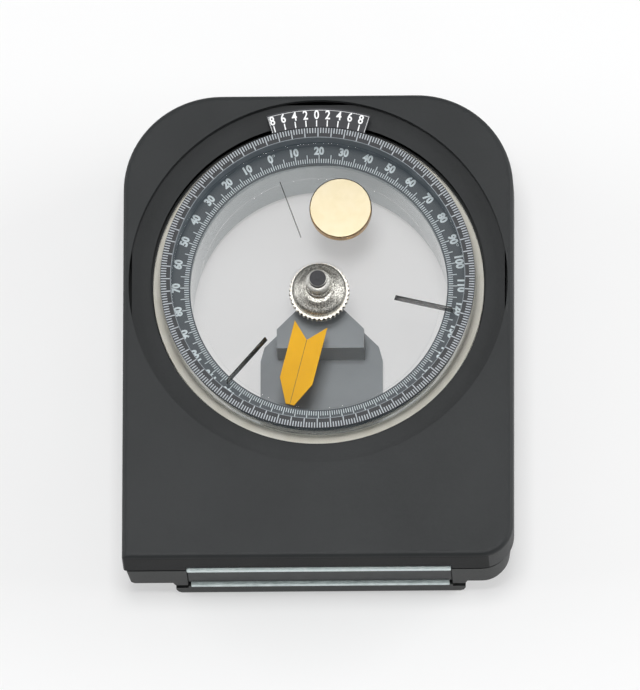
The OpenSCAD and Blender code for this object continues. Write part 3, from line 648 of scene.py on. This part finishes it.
outer_lines, ring_lines = bmesh.new(), bmesh.new()
for degree in range(360):
    turn = ZERO_TURN - degree
    add_line(outer_lines, turn, 37.85 if degree % 5 == 0 else 38.85, 40.25, SCALE_Z, 0.27)
    reach = 35.55 if degree % 5 == 0 else 34.5
    add_line(ring_lines, turn, 33.35, reach, NUMBER_Z, 0.2)
finish_piece(outer_lines, "outer_scale_lines", "dial", ink_ticks, even=False, merge=0.0001)
finish_piece(ring_lines, "ring_scale_lines", "dial", ink_numbers, even=False, merge=0.0001)

# %% [markdown]
# ## Figures
# Figures are text objects turned into meshes. A printed figure has to match a height and a width, so
# the mesh of each is measured against a plain zero and stretched to the size wanted. The offset of
# the text curve makes the strokes bolder, and a hair of extrusion gives the ink its thickness.

# %% Figure maker
def figure_mesh(text, bold):
    curve = bpy.data.curves.new("figure", "FONT")
    curve.body, curve.size, curve.offset, curve.extrude = text, 1.0, bold, 0.004
    curve.align_x, curve.align_y, curve.resolution_u = "CENTER", "CENTER", 3
    holder = bpy.data.objects.new("figure", curve)
    bpy.context.scene.collection.objects.link(holder)
    mesh = bpy.data.meshes.new_from_object(holder.evaluated_get(bpy.context.evaluated_depsgraph_get()))
    bpy.data.objects.remove(holder)
    bpy.data.curves.remove(curve)
    return mesh


def add_figure(bm, text, degrees, radius, z, height, width, bold=0.02):
    """A figure at a radius, its foot towards the dial's axis; width is that of a single zero."""
    zero, mesh = figure_mesh("0", bold), figure_mesh(text, bold)
    xs, ys = [v.co.x for v in zero.vertices], [v.co.y for v in zero.vertices]
    stretch = (width / (max(xs) - min(xs)), height / (max(ys) - min(ys)))
    own_x = [v.co.x for v in mesh.vertices]
    middle = ((max(own_x) + min(own_x)) / 2, (max(ys) + min(ys)) / 2)
    place = (about_dial(degrees) @ Matrix.Translation(at(0, DIAL_Y + radius, z + 0.004))
             @ Matrix.Diagonal(Vector((stretch[0] * MM, stretch[1] * MM, MM, 1)))
             @ Matrix.Translation((-middle[0], -middle[1], 0)))
    mesh.transform(place)
    bm.from_mesh(mesh)
    bpy.data.meshes.remove(mesh)
    bpy.data.meshes.remove(zero)


# %% [markdown]
# ## Figures of the numbered ring
# From the zero mark the ring counts both ways in tens. The half and quarter turns carry a small ring
# as the degree sign, set a little above the figures.

# %% Numbered ring
ring_figures = bmesh.new()
for tens in range(-17, 19):
    value, turn = abs(10 * tens), ZERO_TURN - 10 * tens
    add_figure(ring_figures, str(value), turn, 36.65, NUMBER_Z, 2.25, 1.34, 0.05)
    if value in (0, 90, 120, 180) and tens >= 0:
        shift = 1.45 * (len(str(value)) + 0.45) / 2
        add_figure(ring_figures, "o", turn - math.degrees(shift / 37), 37.4, NUMBER_Z, 0.9, 0.7, -0.005)
finish_piece(ring_figures, "ring_figures", "dial", ink_numbers, even=False, merge=0.0001)

# %% [markdown]
# ## Vernier figures and lines
# The vernier counts 0 to 8 by twos both ways from its middle, and every figure stands over its line.
# A fine border runs along the plate's outer edge and its ends.

# %% Vernier print
vernier_print = bmesh.new()
for place, text in enumerate("864202468"):
    turn = 0.5 - 3.77 * (place - 4)
    add_figure(vernier_print, text, turn, 43.78, SCALE_Z, 2.5, 1.3, 0.022)
    add_line(vernier_print, turn, 40.6, 42.3, SCALE_Z, 0.3)
for side in (-1, 1):
    add_line(vernier_print, VERNIER_TURN + side * 16.75, 40.6, 45.0, SCALE_Z, 0.1)
border = sector(44.93, 45.02, SCALE_Z, SCALE_Z + 0.03, VERNIER_TURN, 33.5, steps=36)
border_mesh = bpy.data.meshes.new("border")
border.to_mesh(border_mesh)
border.free()
vernier_print.from_mesh(border_mesh)
bpy.data.meshes.remove(border_mesh)
finish_piece(vernier_print, "vernier_print", "case", ink_vernier, even=False, merge=0.0001)

# %% [markdown]
# ## Moulded rim line
# Where the wall of the lens steps up to the outer scale, its polished corner pipes light round and
# shows as a thin pale line. A fine ring at that corner, printed pale grey as a painted highlight, stands for it.

# %% Rim line of the lens
rim_line = spun([(37.66, SCALE_Z - 0.12), (37.82, SCALE_Z - 0.12), (37.82, SCALE_Z + 0.02),
                 (37.66, SCALE_Z + 0.02)], steps=256)
# The fine ring's pale grey is a painted highlight for the light piped round the corner.
finish_piece(rim_line, "lens_rim_line", "dial", painted_rim_glint, even=False, merge=0.0001)

# %% [markdown]
# ## Hub
# The rotor's hub is turned from brass and nickel plated over a blasted skin: a low dome with a raised
# ring round the spindle. Its profile follows the CAD solid, with softer corners and the small
# grooves of the turning tool.

# %% Hub
hub = spun([(4.02, 17.0), (5.4, 17.0), (5.4, 18.2), (6.6, 18.2), (6.6, 19.0), (5.4, 19.0), (5.4, 22.4),
            (6.9, 22.4), (6.9, 24.4), (6.3, 25.0), (5.5, 25.35), (4.9, 25.75), (4.2, 26.3), (3.3, 26.4),
            (3.1, 27.3), (2.3, 27.3), (2.3, 25.2), (4.02, 25.2)],
           {8: 0.25, 9: 0.3, 10: 0.2, 12: 0.3, 14: 0.2, 15: 0.15}, steps=96)
finish_piece(hub, "hub", "rotor", nickel_hub_painted_glints, ["rotor_hub"], sharp=50)

# %% [markdown]
# ## Spindle
# The spindle is ground bright where the bearings run. Above the lens it carries a blasted nickel
# collar and a blackened head, whose edge is turned bright. One spin makes it, and the faces above the change of finish take the dark material.

# %% Spindle
spindle_low, spindle_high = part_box("spindle")
spindle_foot, spindle_end = 1000 * spindle_low.z, 1000 * spindle_high.z
spindle = spun([(0, spindle_foot), (1.7, spindle_foot), (2.0, spindle_foot + 0.3), (2.0, 29.75),
                (3.05, 29.75), (3.05, 31.6), (2.7, 31.95), (2.15, 32.05), (2.25, 32.2),
                (2.25, spindle_end - 0.15), (2.1, spindle_end), (0, spindle_end)],
               {4: 0.15, 5: 0.2, 6: 0.15}, steps=64)
spindle.normal_update()
for face in spindle.faces:
    middle = face.calc_center_median() / MM
    on_chamfer = middle.z > spindle_end - 0.14 and face.normal.z < 0.95
    face.material_index = 0 if middle.z < 29.8 or on_chamfer else 2 if middle.z < 32.1 else 1
finish_piece(spindle, "spindle_turned", "case", [spindle_steel, dark_steel, nickel_collar], ["spindle"])

# %% [markdown]
# ## Knurled rim
# The bright rim under the hub has 40 teeth to be turned by when the rotor is set. One gap is made as a
# round cutter and repeated round the rim, and the Boolean takes them all at once.

# %% Knurled rim
rim = spun([(5.45, DISC_Z), (7.8, DISC_Z), (7.8, DISC_Z + 1.4), (5.45, DISC_Z + 1.4)], {2: 0.25, 1: 0.15},
           steps=120)
gaps = bmesh.new()
for tooth in range(40):
    bmesh.ops.create_cone(gaps, cap_ends=True, segments=12, radius1=0.42 * MM, radius2=0.42 * MM,
                          depth=3 * MM, matrix=about_dial(9 * tooth) @ Matrix.Translation(
                              at(0, DIAL_Y + 7.8, DISC_Z + 0.7)))
rim = cut(rim, gaps)
rim.normal_update()
for face in rim.faces:
    middle = face.calc_center_median() / MM
    # The sides of the gaps take the darker nickel: dirt and painted shade in the recesses.
    in_gap = abs(face.normal.z) < 0.3 and math.hypot(middle.x, middle.y - DIAL_Y) < 7.72
    face.material_index = 1 if in_gap else 0
finish_piece(rim, "hub_rim_knurled", "rotor", [plated_rim, rim_gap_dirt_and_shade], ["hub_rim"],
             sharp=40)

# %% [markdown]
# ## Rotor disc
# The rotor's disc is a thin round of acrylic with a low boss beneath the hub. Its rim is polished, so
# from above it is only a faint line.

# %% Rotor disc
disc = spun([(5.42, DISC_Z - 2), (8.7, DISC_Z - 2), (8.7, DISC_Z - 1), (31.0, DISC_Z - 1), (31.0, DISC_Z),
             (5.42, DISC_Z)], {1: 0.2, 3: 0.12, 4: 0.12}, steps=192)
finish_piece(disc, "rotor_disc_clear", "rotor", acrylic_disc, ["rotor_disc"])

# %% [markdown]
# ## Brass weight
# A polished brass slug opposite the pointer keeps the pointer hanging down. Its face mirrors the pale
# room, and its sides and chamfer take a darker brass, a painted dark reflection on its edge.

# %% Brass weight
slug = spun([(0, DISC_Z + 1.7), (1.55, DISC_Z + 1.7), (1.55, DISC_Z), (7.7, DISC_Z), (8.0, DISC_Z + 0.3),
             (8.0, DISC_Z + 2.75), (7.78, DISC_Z + 3.0), (0, DISC_Z + 3.0)], {5: 0.15, 6: 0.1}, steps=128)
slug.normal_update()
for face in slug.faces:
    # The top face takes the polished brass and every other face the darker copy: a painted dark reflection.
    face.material_index = 0 if face.normal.z > 0.9 else 1
bmesh.ops.transform(slug, matrix=about_dial(ROTOR_TURN) @ Matrix.Translation(at(0, 22.6, 0)),
                    verts=slug.verts[:])
finish_piece(slug, "weight_slug", "rotor", [polished_brass, brass_edge_painted_reflection], ["brass_weight"])

# %% [markdown]
# ## Pointer
# The pointer is a strip of sheet metal, folded a little along its middle and painted yellow. The CAD
# solid has the fold, so it only needs its edges broken. A thin dark brown bar along the ridge is painted
# shade along the fold.

# %% Pointer
pointer = softened("pointer_arrow", "pointer", "rotor", yellow_paint, 0.06, sharp=2,
                   limit=30)
ridge = sorted(pointer.data.vertices, key=lambda v: -v.co.z)[:2]
near, far = sorted((v.co / MM for v in ridge), key=lambda c: -c.y)
along = far - near
# A thin dark brown bar along the ridge: painted shade along the fold.
fold = block((-0.07, 0, -0.05), (0.07, along.length, 0.012))
bmesh.ops.transform(fold, matrix=Matrix.Translation(near * MM) @ along.to_track_quat("Y", "Z").to_matrix().to_4x4(), verts=fold.verts[:])
finish_piece(fold, "pointer_fold", "rotor", fold_painted_shade, even=False, merge=0.0001)
print("fold line:", round(along.length, 1), "mm long")

# %% [markdown]
# ## Floor
# The instrument lies on a plain white sheet. The sheet is a real surface that takes the shadow, and it
# isn't part of the object.

# %% Floor
sheet = bmesh.new()
bmesh.ops.create_grid(sheet, x_segments=1, y_segments=1, size=3.0,
                      matrix=Matrix.Translation((0, 0, -0.00003)))
sheet_mesh = bpy.data.meshes.new("floor")
sheet.to_mesh(sheet_mesh)
sheet.free()
floor = bpy.data.objects.new("floor", sheet_mesh)
bpy.context.scene.collection.objects.link(floor)
white, tree, output, place = blank_material("paper_white")
fibre = add(tree, "TexNoise", {"Vector": place, "Scale": per_mm(30), "Detail": 2.0})
tone = add(tree, "Mix", {0: fibre.outputs["Fac"], 6: linear("#f6f6f6"), 7: linear("#f9f9f9")},
           data_type="RGBA")
paper = add(tree, "BsdfPrincipled", {"Base Color": tone.outputs[2], "Roughness": 0.9,
                                     "Specular IOR Level": 0.1})
backlight = add(tree, "Emission", {"Color": linear("#f9f9f9"), "Strength": 1.0})
rays = add(tree, "LightPath")
direct = add(tree, "Math", {0: rays.outputs["Is Camera Ray"], 1: rays.outputs["Is Transmission Ray"]},
             operation="MAXIMUM")
seen = add(tree, "Math", {0: direct.outputs[0], 1: rays.outputs["Is Glossy Ray"]}, operation="MAXIMUM")
bounced = add(tree, "Math", {0: rays.outputs["Is Diffuse Ray"], 1: 0.25}, operation="MULTIPLY")
lift = add(tree, "Math", {0: seen.outputs[0], 1: 0.45, 2: bounced.outputs[0]}, operation="MULTIPLY_ADD")
lit = add(tree, "MixShader", {0: lift.outputs[0], 1: paper.outputs["BSDF"], 2: backlight.outputs[0]})
tree.links.new(lit.outputs["Shader"], output.inputs["Surface"])
sheet_mesh.materials.append(white)
print("floor is", 2 * 3.0, "m wide")

# %% [markdown]
# ## Light
# One soft lamp hangs straight above, where no flat clear surface mirrors it towards the camera, and
# two wide, weaker ones stand to the left and right and draw the bezel's slopes. The lamps are set so that a level surface gets one
# unit of light: then a colour renders about as it is written.

# %% Lamps and world
def soft_lamp(name, place, aim, width, height, watts):
    lamp = bpy.data.lights.new(name, "AREA")
    lamp.shape, lamp.size, lamp.size_y, lamp.energy = "RECTANGLE", width, height, watts
    holder = bpy.data.objects.new(name, lamp)
    holder.location = place
    holder.rotation_mode = "QUATERNION"
    holder.rotation_quaternion = (Vector(aim) - Vector(place)).to_track_quat("-Z", "Y")
    holder.visible_camera = False
    bpy.context.scene.collection.objects.link(holder)
    return holder


soft_lamp("lamp_over", (0, 0.0, 1.6), (0, 0.012, 0.03), 0.42, 0.42, 12.3)
soft_lamp("lamp_left", (-0.95, 0.15, 0.50), (0, 0, 0.03), 0.8, 0.5, 4.2)
soft_lamp("lamp_right", (0.95, 0.15, 0.50), (0, 0, 0.03), 0.8, 0.5, 6.2)

world = bpy.data.worlds.new("pale_room")
bpy.context.scene.world = world
world.use_nodes = True
world.node_tree.nodes.clear()
room = world.node_tree
rays = add(room, "LightPath")
seen = add(room, "Math", {0: rays.outputs["Is Camera Ray"], 1: rays.outputs["Is Transmission Ray"]},
           operation="MAXIMUM")
facing = add(room, "SeparateXYZ", {0: add(room, "TexCoord").outputs["Generated"]})
glow = add(room, "MapRange", {"Value": facing.outputs["Y"], "From Min": -0.6, "From Max": 0.3,
                              "To Min": 0.2, "To Max": 0.34})
walls = add(room, "Background", {"Color": linear("#f4f5f6"), "Strength": glow.outputs["Result"]})
backdrop = add(room, "Background", {"Color": linear("#f7f7f7"), "Strength": 1.0})
both = add(room, "MixShader", {0: seen.outputs[0], 1: walls.outputs[0], 2: backdrop.outputs[0]})
add(room, "OutputWorld", {"Surface": both.outputs[0]})

# %% [markdown]
# ## Camera
# The photograph looks down on the dial from 17.3 degrees south of straight above, from so far away
# that parallel lines stay parallel. A very long lens at six and a half metres gives nearly the same view. Its focal length
# follows from the width that the picture takes in, which is 163.7 mm of the object.

# %% Camera
TILT, SIDE, ROLL = math.radians(17.3), math.radians(2.05), math.radians(0.15)
DISTANCE, SEEN_MM = 6.5, 163.7
camera = bpy.data.cameras.new("camera")
camera.sensor_fit, camera.sensor_width = "HORIZONTAL", 36.0
camera.lens = 36.0 * DISTANCE / (SEEN_MM * MM)
camera.clip_start, camera.clip_end = 0.02, 30.0
viewer = bpy.data.objects.new("camera", camera)
turned = Matrix.Rotation(SIDE, 4, "Y") @ Matrix.Rotation(TILT, 4, "X") @ Matrix.Rotation(ROLL, 4, "Z")
viewer.matrix_world = Matrix.Translation(at(0.69, -6.26, 35.1) + DISTANCE * turned.col[2].xyz) @ turned
bpy.context.scene.collection.objects.link(viewer)
bpy.context.scene.camera = viewer
bpy.context.scene.view_settings.view_transform = "Standard"
bpy.context.scene.cycles.transparent_max_bounces = 24
print("lens", round(camera.lens), "mm")
